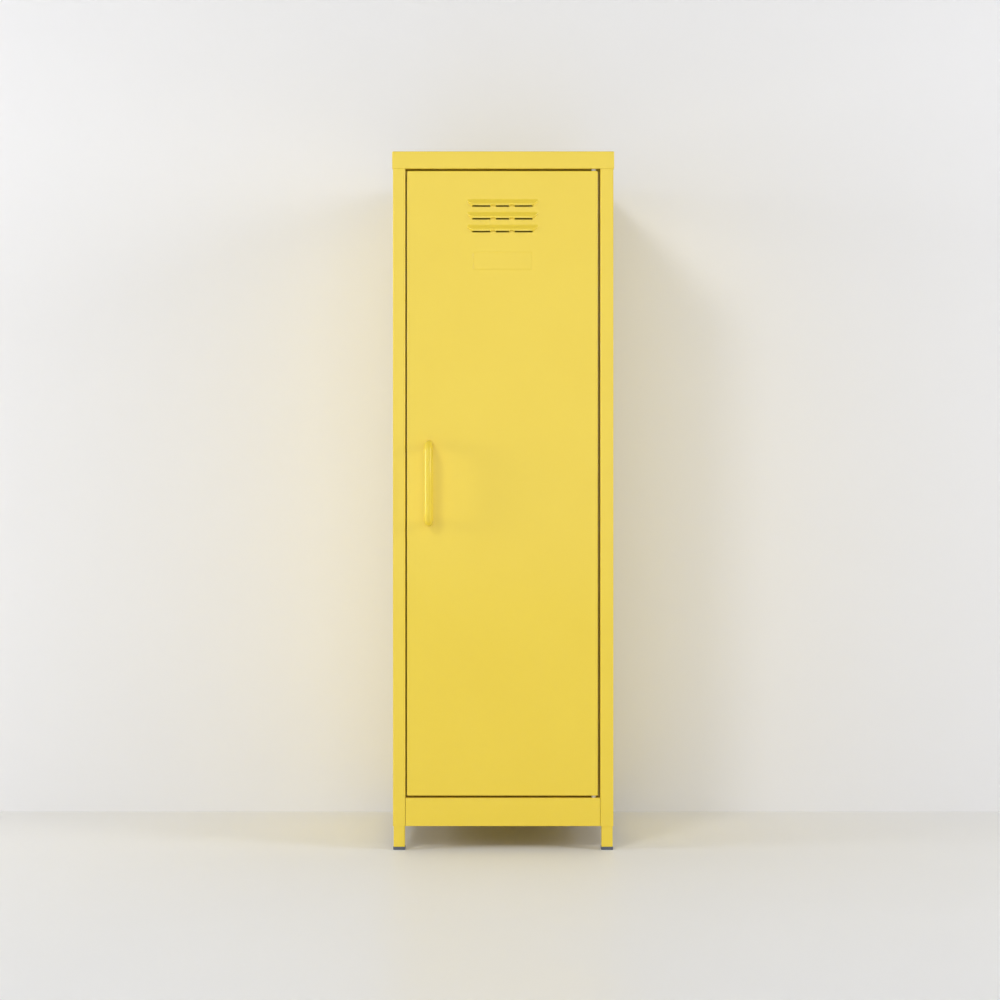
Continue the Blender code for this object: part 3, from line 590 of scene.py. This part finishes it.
def doorRing(columns, rows, inset, y):
    # one turn round the door's outline, with a point for each column and row
    corner = doorSizes["corner"]
    low = (doorLow.x + inset, doorLow.z + inset)
    high = (doorHigh.x - inset, doorHigh.z - inset)
    radius = max(corner - inset, 0.0)
    left, right = low[0] + radius, high[0] - radius
    bottom, top = low[1] + radius, high[1] - radius
    steps = doorSizes["foldSteps"]
    points = [(kept(x, left, right), low[1]) for x in columns]
    points += arcPoints((right, bottom), radius, -90, 0, steps)[1:-1]
    points += [(high[0], kept(z, bottom, top)) for z in rows]
    points += arcPoints((right, top), radius, 0, 90, steps)[1:-1]
    points += [(kept(x, left, right), high[1]) for x in reversed(columns)]
    points += arcPoints((left, top), radius, 90, 180, steps)[1:-1]
    points += [(low[0], kept(z, bottom, top)) for z in reversed(rows)]
    points += arcPoints((left, bottom), radius, 180, 270, steps)[1:-1]
    return [Vector((x, y, z)) for x, z in points]


def doorSkin(build, columns, rows):
    size = doorSizes
    card = doorHigh.z - size["cardDrop"]
    grid = []
    for z in rows:
        line = []
        for x in columns:
            across = x - doorMiddle
            y = frontFace + cardDip(across, z - card)
            y -= sum(hoodRise(across, z - level) for level in louvreLevels())
            line.append(build.verts.new((x, y, z)))
        grid.append(line)
    for j in range(len(rows) - 1):
        z = (rows[j] + rows[j + 1]) / 2
        low = any(size["foot"] < z - level < size["lip"] for level in louvreLevels())
        for i in range(len(columns) - 1):
            x = (columns[i] + columns[i + 1]) / 2 - doorMiddle
            if low and any(start < x < end for start, end in slotSpans()):
                continue
            build.faces.new((grid[j][i], grid[j][i + 1], grid[j + 1][i + 1], grid[j + 1][i]))


def makeDoorPan():
    size = doorSizes
    columns, rows = doorColumns(), doorRows()
    face, back = frontFace, doorHigh.y
    fold, steps = size["fold"], size["foldSteps"]
    build = bmesh.new()
    doorSkin(build, columns, rows)
    profile = [(size["corner"], face)]
    for i in range(steps + 1):
        angle = math.pi / 2 * i / steps
        profile.append((fold - fold * math.sin(angle), face + fold - fold * math.cos(angle)))
    for i in range(steps + 1):
        angle = math.pi / 2 * i / steps
        profile.append((fold - fold * math.cos(angle), back - fold + fold * math.sin(angle)))
    profile += [(size["flange"] * share, back) for share in (0.2, 0.6, 1.0)]
    loops = [[build.verts.new(p) for p in doorRing(columns, rows, *spot)] for spot in profile]
    for first, second in zip(loops, loops[1:]):
        for i in range(len(first)):
            j = (i + 1) % len(first)
            build.faces.new((first[i], second[i], second[j], first[j]))
    data = meshOf("doorPanSkin", build)
    # outward means away from the pan's hollow, which a recalculation can't tell on an open sheet
    sheet = bpy.data.objects.new("doorPanSkin", data)
    scene.collection.objects.link(sheet)
    plainSpot = Vector((doorMiddle, face, rows[3]))
    nearest = min(data.polygons, key=lambda polygon: (polygon.center - plainSpot).length)
    if nearest.normal.y > 0:
        data.flip_normals()
    solid = sheet.modifiers.new("gauge", "SOLIDIFY")
    solid.thickness = sheetGauge
    solid.offset = -1
    mesh = evaluated(sheet)
    bpy.data.objects.remove(sheet)
    mesh.shade_smooth()
    mesh.set_sharp_from_angle(angle=math.radians(50))
    evenNormals(showPiece("door_pan", mesh, "door_panel", doorCoat))


makeDoorPan()
print("door pan pressed")


# handle: one bent rod, flared a little where the coating fills its feet
handleSizes = {
    "bend": 0.015,
    "bendSteps": 18,
    "sides": 48,
    "flare": 0.0005,
    "flareLength": 0.0012,
    "bore": 0.0018,
    "tap": 0.012,  # how deep the screws go
}


def makeHandle():
    size = handleSizes
    low, high = handleLow, handleHigh
    radius = (high.x - low.x) / 2
    middle = (low.x + high.x) / 2
    lineY, footY = low.y + radius, high.y
    ends = (low.z + radius, high.z - radius)
    feet = []
    for share in (0.0, 0.4, 1.0):
        feet.append((footY - size["flareLength"] * share, radius + size["flare"] * (1 - share) ** 2))
    spots = [(y, ends[0], 0.0, wide) for y, wide in feet]
    for pivot, start in ((ends[0] + size["bend"], 0), (ends[1] - size["bend"], 90)):
        for step in range(size["bendSteps"] + 1):
            angle = math.radians(start + 90 * step / size["bendSteps"])
            y = lineY + size["bend"] - size["bend"] * math.sin(angle)
            spots.append((y, pivot - size["bend"] * math.cos(angle), angle, radius))
    spots += [(y, ends[1], math.pi, wide) for y, wide in reversed(feet)]

    def ring(y, z, angle, wide):
        points = []
        for i in range(size["sides"]):
            turn = 2 * math.pi * i / size["sides"]
            across, out = wide * math.cos(turn), wide * math.sin(turn)
            points.append(Vector((middle + across, y - out * math.sin(angle), z - out * math.cos(angle))))
        return points

    deep = footY - size["tap"]
    rings = [ring(y, ends[0], 0.0, size["bore"]) for y in (deep, footY)]
    rings += [ring(*spot) for spot in spots]
    rings += [ring(y, ends[1], math.pi, size["bore"]) for y in (footY, deep)]
    build = bmesh.new()
    addRings(build, rings)
    showPiece("handle_rod", meshOf("handleRod", build), "handle", doorCoat)


makeHandle()


legSizes = {
    "corner": 0.0016,
    "steps": 5,
    "wall": 0.0012,
    "footCorner": 0.0018,
    "footEase": 0.0006,
    "plugGap": 0.0004,  # round the part of a foot that goes up its leg
    "seat": 0.0003,  # between a leg's cut end and its foot
}


def roundedSquare(centre, half, corner, z, steps):
    points = []
    for quarter, (u, v) in enumerate(((1, 1), (-1, 1), (-1, -1), (1, -1))):
        spot = (centre.x + u * (half - corner), centre.y + v * (half - corner))
        points += arcPoints(spot, corner, 90 * quarter, 90 * (quarter + 1), steps)
    return [Vector((x, y, z)) for x, y in points]


def makeLegs():
    size = legSizes
    steps = size["steps"]
    for end in ("front", "rear"):
        for side in ("left", "right"):
            low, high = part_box(f"leg_{end}_{side}")
            centre, half = (low + high) / 2, (high.x - low.x) / 2
            inner = size["corner"] - size["wall"] / 2
            bore = half - size["wall"]
            build = bmesh.new()
            rings = [
                roundedSquare(centre, half, size["corner"], low.z, steps),
                roundedSquare(centre, half, size["corner"], high.z, steps),
                roundedSquare(centre, bore, inner, high.z, steps),
                roundedSquare(centre, bore, inner, low.z, steps),
            ]
            addRings(build, rings, closed=True)
            showPiece(f"{end}_{side}_leg_tube", meshOf("legTube", build), f"leg_{end}_{side}")
            low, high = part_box(f"glide_{end}_{side}")
            half, ease = (high.x - low.x) / 2, size["footEase"]
            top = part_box(f"leg_{end}_{side}")[0].z - size["seat"]
            plug = bore - size["plugGap"]
            levels = [(half - ease, low.z), (half - ease * 0.3, low.z + ease * 0.3), (half, low.z + ease)]
            levels += [(half, top - ease / 2), (half - ease / 2, top)]
            levels += [(plug, top), (plug, high.z - ease), (plug - ease, high.z)]
            build = bmesh.new()
            rings = []
            for wide, z in levels:
                corner = max(size["plugGap"], size["footCorner"] - (half - wide))
                rings.append(roundedSquare(centre, wide, corner, z, steps))
            addRings(build, rings)
            showPiece(f"{end}_{side}_foot_pad", meshOf("footPad", build), f"glide_{end}_{side}")


makeLegs()
print("handle, legs and feet made")


# screws: pan heads with a cross recess and a rolled thread
screwSizes = {
    "sides": 32,
    "headShare": 0.6,  # head height as a share of its radius
    "recessShare": 0.52,
    "recessDepth": 0.62,  # of the head's height
    "pitch": 0.0012,
    "threadDepth": 0.00028,
    "perPitch": 6,
}
screwKinds = {  # name start: (axis, the way its head faces)
    "back_screw": ("y", 1),
    "cap_screw": ("y", 1),
    "handle_screw": ("y", 1),
    "catch_screw": ("x", 1),
    "leg_screw_left": ("x", 1),
    "leg_screw_right": ("x", -1),
}
screwMeshes = {}


def threadedShank(build, radius, length):
    size = screwSizes
    count = max(8, int(length / size["pitch"] * size["perPitch"]))
    rings = []
    for row in range(count + 1):
        z = -length * row / count
        point = min(1.0, (length + z) / radius)  # the last stretch runs to a point
        ring = []
        for i in range(size["sides"]):
            turn = i / size["sides"]
            phase = (z / size["pitch"] + turn) % 1.0
            ridge = 1 - abs(2 * phase - 1)
            r = (radius - size["threadDepth"] * (1 - ridge)) * (0.15 + 0.85 * point)
            angle = 2 * math.pi * turn
            ring.append(Vector((r * math.cos(angle), r * math.sin(angle), z)))
        rings.append(ring)
    addRings(build, rings)


def screwMesh(headRadius, length):
    # head above z 0, shank below it
    key = (round(headRadius, 5), round(length, 5))
    if key in screwMeshes:
        return screwMeshes[key].copy()
    size = screwSizes
    high = headRadius * size["headShare"]
    profile = [(headRadius * 0.3, 0.0), (headRadius * 0.96, 0.0)]
    profile += [(headRadius, high * 0.08), (headRadius, high * 0.3)]
    for i in range(1, 9):
        angle = math.pi / 2 * i / 9
        wide = headRadius * (0.35 + 0.65 * math.cos(angle))
        profile.append((wide, high * (0.3 + 0.7 * math.sin(angle))))
    profile.append((headRadius * 0.2, high))
    head = bpy.data.objects.new("screwHead", spun("screwHead", profile, size["sides"]))
    cross = bmesh.new()
    reach, deep = headRadius * size["recessShare"], high * size["recessDepth"]
    arm = reach * 0.24
    outline = []
    for quarter in range(4):
        turn = Matrix.Rotation(math.pi / 2 * quarter, 3, "Z")
        corners = ((arm, arm, 0), (reach, arm * 0.7, 0), (reach, -arm * 0.7, 0))
        outline += [turn @ Vector(corner) for corner in corners]
    outline.sort(key=lambda p: math.atan2(p.y, p.x))
    levels = ((0.45, high - deep), (1.0, high * 1.2))
    addRings(cross, [[Vector((p.x * share, p.y * share, z)) for p in outline] for share, z in levels])
    tool = bpy.data.objects.new("crossTool", meshOf("crossTool", cross))
    for each in (head, tool):
        scene.collection.objects.link(each)
    cut = head.modifiers.new("recess", "BOOLEAN")
    cut.object = tool
    bpy.context.view_layer.update()
    recessed = evaluated(head)
    for each in (head, tool):
        bpy.data.objects.remove(each)
    build = bmesh.new()
    build.from_mesh(recessed)
    threadedShank(build, headRadius / 2, length - high)
    screwMeshes[key] = meshOf("panHeadScrew", build, 32)
    return screwMeshes[key].copy()


def makeScrews():
    for node in sorted(frame["nodes"]):
        kinds = [kind for start, kind in screwKinds.items() if node.startswith(start)]
        if not kinds:
            continue
        axis, way = kinds[0]
        low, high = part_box(node)
        size = high - low
        middle = (low + high) / 2
        along = {"x": 0, "y": 1}[axis]
        headRadius = size.z / 2
        length = size[along]
        mesh = screwMesh(headRadius, length)
        direction = Vector((0, 0, 0))
        direction[along] = way
        seat = middle.copy()
        seat[along] = (high if way > 0 else low)[along] - way * headRadius * screwSizes["headShare"]
        # each screw stops at a turn of its own, worked out from its name
        spin = Matrix.Rotation(math.radians(37 * len(node) + 53 * sum(map(ord, node))), 4, "Z")
        turn = direction.to_track_quat("Z", "Y").to_matrix().to_4x4()
        showPiece(node + "_threaded", mesh, node, matrix=Matrix.Translation(seat) @ turn @ spin)


makeScrews()
print("screws made")


bushSizes = {"sides": 40, "wall": 0.0016, "step": 0.0006, "collar": 0.0028, "ease": 0.00035}
pinSizes = {
    "sides": 40,
    "headTimes": 1.6,  # the head's radius is this many times the pin's
    "dome": 0.0009,
    "domeStart": 0.0003,
    "taper": 0.0012,
    "tipEase": 0.0001,
}
bumperSizes = {
    "sides": 36,
    "face": 0.0024,
    "under": 0.0001,
    "domeAngles": (0.4, 0.8, 1.2, 1.57),
    "neck": 0.46,  # of its radius, as are the barb and the tip
    "barb": 0.70,
    "tip": 0.15,
}


def axisOf(low, high):
    return Vector(((low.x + high.x) / 2, (low.y + high.y) / 2, 0))


def makeBushes():
    size = bushSizes
    ease = size["ease"]
    for end, out in (("top", -1), ("bottom", 1)):
        low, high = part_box(f"hinge_bush_{end}")
        rim = (high.x - low.x) / 2
        bore, neck = rim - size["wall"], rim - size["step"]
        face, tail = (low.z, high.z) if out < 0 else (high.z, low.z)
        seat = face - out * size["collar"]
        profile = [(bore, face - out * ease), (bore + ease, face), (rim - ease, face)]
        profile += [(rim - ease * 0.3, face - out * ease * 0.3), (rim, face - out * ease)]
        profile += [(rim, seat + out * ease / 2), (rim - ease / 2, seat)]
        profile += [(neck, seat), (neck, tail + out * ease), (neck - ease, tail)]
        profile += [(bore + ease / 2, tail), (bore, tail + out * ease / 2)]
        mesh = spun("nylonBush", profile, size["sides"], closed=True)
        place = Matrix.Translation(axisOf(low, high))
        showPiece(f"{end}_nylon_bush", mesh, f"hinge_bush_{end}", matrix=place)


def makePins():
    size = pinSizes
    taper = size["taper"]
    for end, out in (("top", 1), ("bottom", -1)):
        low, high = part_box(f"hinge_pin_{end}")
        head = (high.x - low.x) / 2
        radius = head / size["headTimes"]
        tip, back = (high.z, low.z) if out > 0 else (low.z, high.z)
        under = back + out * radius
        profile = [(head * 0.55, back), (head * 0.85, back + out * size["domeStart"])]
        profile += [(head, back + out * size["dome"]), (head, under), (radius, under)]
        profile += [(radius, tip - out * taper), (radius * 0.9, tip - out * taper / 2)]
        profile += [(radius * 0.62, tip - out * size["tipEase"]), (radius * 0.3, tip)]
        mesh = spun("hingePin", profile, size["sides"])
        place = Matrix.Translation(axisOf(low, high))
        showPiece(f"{end}_pin_turned", mesh, f"hinge_pin_{end}", matrix=place)


def makeBumpers():
    size = bumperSizes
    face = size["face"]
    turn = Vector((0, 1, 0)).to_track_quat("Z", "Y").to_matrix().to_4x4()
    for level in ("lower", "upper"):
        low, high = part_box(f"door_bumper_{level}")
        centre = Vector(((low.x + high.x) / 2, low.y, (low.z + high.z) / 2))
        wide = (high.x - low.x) / 2
        depth = high.y - low.y
        neck = wide * size["neck"]
        profile = [(wide * 0.25, 0.0)]
        for angle in size["domeAngles"]:
            profile.append((wide * (0.25 + 0.75 * math.sin(angle)), face * 0.55 * (1 - math.cos(angle))))
        profile += [(wide, face), (neck, face + size["under"]), (neck, depth * 0.72)]
        profile += [(wide * size["barb"], depth * 0.74), (wide * 0.5, depth * 0.9)]
        profile.append((wide * size["tip"], depth))
        mesh = spun("stopBumper", profile, size["sides"])
        place = Matrix.Translation(centre) @ turn
        showPiece(f"{level}_stop_bumper", mesh, f"door_bumper_{level}", matrix=place)


makeBushes()
makePins()
makeBumpers()
print("turned pieces made")


easedEdges = {  # names start with: width of the softened edges
    "clip_": 0.00025,
    "strike_plate": 0.0003,
    "pin_plate": 0.0003,
    "catch_housing": 0.0005,
    "catch_magnet": 0.0003,
}
foldSizes = {
    "outer": 0.0014,
    "inner": 0.0006,
    "steps": 4,
    "shortest": 0.04,  # corners shorter than this aren't folds
    "narrowest": 0.0025,  # nor are those beside a face as narrow as a cut edge
    "squareWithin": 0.2,
}
foldedSheets = ("side_panel_", "top_cap", "kick_rail")


def widthBeside(edge, face):
    # how far a face reaches from one of its edges
    start = edge.verts[0].co
    along = (edge.verts[1].co - start).normalized()
    return max(((v.co - start) - along * along.dot(v.co - start)).length for v in face.verts)


def foldEdges(build, convex):
    # long square corners between two broad faces, which is where a sheet is folded
    size = foldSizes
    found = []
    for edge in build.edges:
        if len(edge.link_faces) != 2 or edge.calc_length() < size["shortest"]:
            continue
        offSquare = abs(edge.calc_face_angle(0) - math.pi / 2)
        if offSquare > size["squareWithin"] or edge.is_convex != convex:
            continue
        if min(widthBeside(edge, face) for face in edge.link_faces) > size["narrowest"]:
            found.append(edge)
    return found


def steadyOrder(build):
    # by place, because a bevel leaves its faces in another order each time it runs
    def place(each):
        verts = getattr(each, "verts", [each])
        return tuple(round(sum(vert.co[axis] for vert in verts) / len(verts), 7) for axis in (2, 0, 1))

    for kind in (build.verts, build.edges, build.faces):
        for rank, each in enumerate(sorted(kind, key=place)):
            each.index = rank
        kind.sort()
        kind.index_update()


def makeFolds():
    # the same sheets with a bend radius at each fold, their cut edges left crisp
    for name in sorted(frame["nodes"]):
        node = frame["nodes"][name]
        if not name.startswith(foldedSheets):
            continue
        build = bmesh.new()
        build.from_mesh(node.data)
        build.transform(node.matrix_world)
        bmesh.ops.remove_doubles(build, verts=build.verts, dist=1e-6)
        bmesh.ops.dissolve_limit(build, angle_limit=math.radians(1), verts=build.verts, edges=build.edges)
        for convex, offset in ((True, foldSizes["outer"]), (False, foldSizes["inner"])):
            edges = foldEdges(build, convex)
            options = {"offset": offset, "offset_type": "OFFSET", "segments": foldSizes["steps"]}
            options.update({"profile": 0.5, "affect": "EDGES", "clamp_overlap": False})
            bmesh.ops.bevel(build, geom=edges, **options)
        bmesh.ops.triangulate(build, faces=[f for f in build.faces if len(f.verts) > 4])
        steadyOrder(build)
        data = bpy.data.meshes.new(name + "Folded")
        build.to_mesh(data)
        build.free()
        data.shade_smooth()
        data.set_sharp_from_angle(angle=math.radians(40))
        evenNormals(showPiece(name + "_folded", data, name))


makeFolds()
print("folds made")


def finishSheets():
    for name, node in frame["nodes"].items():
        if node.hide_render:
            continue
        node.data.materials.clear()
        node.data.materials.append(finishes[slotOf[name]])
        weld = node.modifiers.new("weld", "WELD")
        weld.merge_threshold = 1e-6
        for start, width in easedEdges.items():
            if name.startswith(start):
                ease = node.modifiers.new("ease", "BEVEL")
                ease.width, ease.segments = width, 3
                ease.limit_method, ease.angle_limit = "ANGLE", math.radians(50)
        evenNormals(node, False)


finishSheets()
print("sheets finished")


stageSizes = {
    "wallBehind": 0.0110,  # from the rearmost screw head to the wall
    "wallHigh": 4.0,
    "half": 7.0,
    "ahead": 9.0,
    "hatchInset": 0.022,  # the hole behind the cabinet lets it be seen from the back
}
stagePaints = {  # colour, other colour, roughness, seen from one side only
    "paleFloor": ((0.83, 0.83, 0.83), (0.815, 0.815, 0.815), 0.42, False),
    "paleWall": ((0.80, 0.80, 0.815), (0.79, 0.79, 0.80), 0.8, True),
}


def stageMaterial(name, colour, other, roughness, oneSided):
    made, tree, shader = newMaterial(name)
    grain = useGroup(tree, "grain", Peel_Scale=160.0, Speck_Scale=700.0, Mottle_Scale=1.1)
    tint = mixed(tree, scaled(tree, grain["Mottle"], 0.5), colour, other)
    rough = ranged(tree, grain["Mottle"], 0.0, 1.0, roughness - 0.05, roughness + 0.05)
    tree.links.new(tint, shader.inputs["Base Color"])
    tree.links.new(rough, shader.inputs["Roughness"])
    shader.inputs["Specular IOR Level"].default_value = 0.2
    bumped(tree, shader, grain["Height"], 0.0002, 0.4)
    if oneSided:
        clear = tree.nodes.new("ShaderNodeBsdfTransparent")
        back = addNode(tree, "NewGeometry").outputs["Backfacing"]
        both = addNode(tree, "MixShader", {0: back, 1: shader.outputs[0], 2: clear.outputs[0]})
        tree.links.new(both.outputs[0], tree.nodes["Material Output"].inputs["Surface"])
    return made


def stagePlane(name, outline, holes, finish):
    build = bmesh.new()
    edges = []
    for loop in [outline] + holes:
        spots = [build.verts.new(p) for p in loop]
        edges += [build.edges.new((spots[i], spots[(i + 1) % len(spots)])) for i in range(len(spots))]
    bmesh.ops.triangle_fill(build, edges=edges, use_beauty=True)
    data = bpy.data.meshes.new(name)
    build.to_mesh(data)
    build.free()
    data.materials.append(finish)
    made = bpy.data.objects.new(name, data)
    scene.collection.objects.link(made)
    return made


def makeStage():
    size = stageSizes
    wallY = cadHigh.y + size["wallBehind"]
    half, high = size["half"], size["wallHigh"]
    floor = [(-half, -size["ahead"], 0), (half, -size["ahead"], 0), (half, half, 0), (-half, half, 0)]
    stagePlane("floor", floor, [], stageMaterial("paleFloor", *stagePaints["paleFloor"]))
    inset = size["hatchInset"]
    left, right = bodyLow.x + inset, -bodyLow.x - inset
    low, top = bodyLow.z + inset, cadHigh.z - inset
    wall = [(-half, wallY, 0), (half, wallY, 0), (half, wallY, high), (-half, wallY, high)]
    hatch = [(left, wallY, low), (right, wallY, low), (right, wallY, top), (left, wallY, top)]
    made = stagePlane("wall", wall, [hatch], stageMaterial("paleWall", *stagePaints["paleWall"]))
    if made.data.polygons[0].normal.y > 0:
        made.data.flip_normals()


def areaLight(name, place, target, wide, tall, power):
    data = bpy.data.lights.new(name, "AREA")
    data.shape, data.size, data.size_y = "RECTANGLE", wide, tall
    data.energy = power
    made = bpy.data.objects.new(name, data)
    scene.collection.objects.link(made)
    made.location = place
    made.rotation_euler = (Vector(target) - Vector(place)).to_track_quat("-Z", "Y").to_euler()


softBoxes = {  # place, what it faces, width, height, power
    "keyBox": ((-2.44, -4.77, 3.60), (0.0, frontFace, 0.60), 1.2, 1.2, 72.0),
    "frontBox": ((0.0, -7.0, 1.60), (0.0, 0.0, 0.60), 5.0, 3.0, 96.0),
    "leftBox": ((-3.4, -0.9, 0.95), (0.0, -0.1, 0.55), 1.0, 1.2, 50.0),
    "rightBox": ((3.4, -1.5, 1.50), (0.0, -0.1, 0.55), 1.4, 1.7, 55.0),
    "backBox": ((0.0, 3.6, 1.60), (0.0, 0.2, 0.55), 2.4, 1.6, 42.0),
}
skySizes = {
    "colour": (0.985, 0.992, 1.0, 1.0),
    "low": 0.08,  # sines of the heights that it brightens between
    "high": 0.55,
    "dim": 0.034,
    "bright": 0.335,
    "backdrop": 0.72,
}


def makeLights():
    for name, box in softBoxes.items():
        areaLight(name, *box)
    world = bpy.data.worlds.new("studio")
    world.use_nodes = True
    tree = world.node_tree
    sky = tree.nodes["Background"]
    sky.inputs["Color"].default_value = skySizes["colour"]
    # the studio's ceiling is bright and its far walls are dim
    way = addNode(tree, "TexCoord").outputs["Generated"]
    up = addNode(tree, "SeparateXYZ", {"Vector": way}).outputs["Z"]
    size = skySizes
    strength = ranged(tree, up, size["low"], size["high"], size["dim"], size["bright"])
    # seen directly it is a plain pale backdrop
    seen = addNode(tree, "LightPath").outputs["Is Camera Ray"]
    shown = addNode(tree, "Mix", {0: seen, 2: strength, 3: size["backdrop"]}, data_type="FLOAT")
    tree.links.new(shown.outputs[0], sky.inputs["Strength"])
    scene.world = world


cameraSizes = {
    "away": 3.37,  # from the cabinet's front
    "side": -0.005,
    "height": 0.555,
    "lens": 76.5,
    "sensor": 36.0,
    "near": 0.05,
    "far": 60.0,
}


def makeCamera():
    size = cameraSizes
    data = bpy.data.cameras.new("camera")
    data.lens, data.sensor_width = size["lens"], size["sensor"]
    data.clip_start, data.clip_end = size["near"], size["far"]
    made = bpy.data.objects.new("camera", data)
    scene.collection.objects.link(made)
    made.location = (size["side"], frontFace - size["away"], size["height"])
    made.rotation_euler = (math.pi / 2, 0, 0)
    scene.camera = made


makeStage()
makeLights()
makeCamera()
scene.view_settings.view_transform = "Standard"
print("stage set")
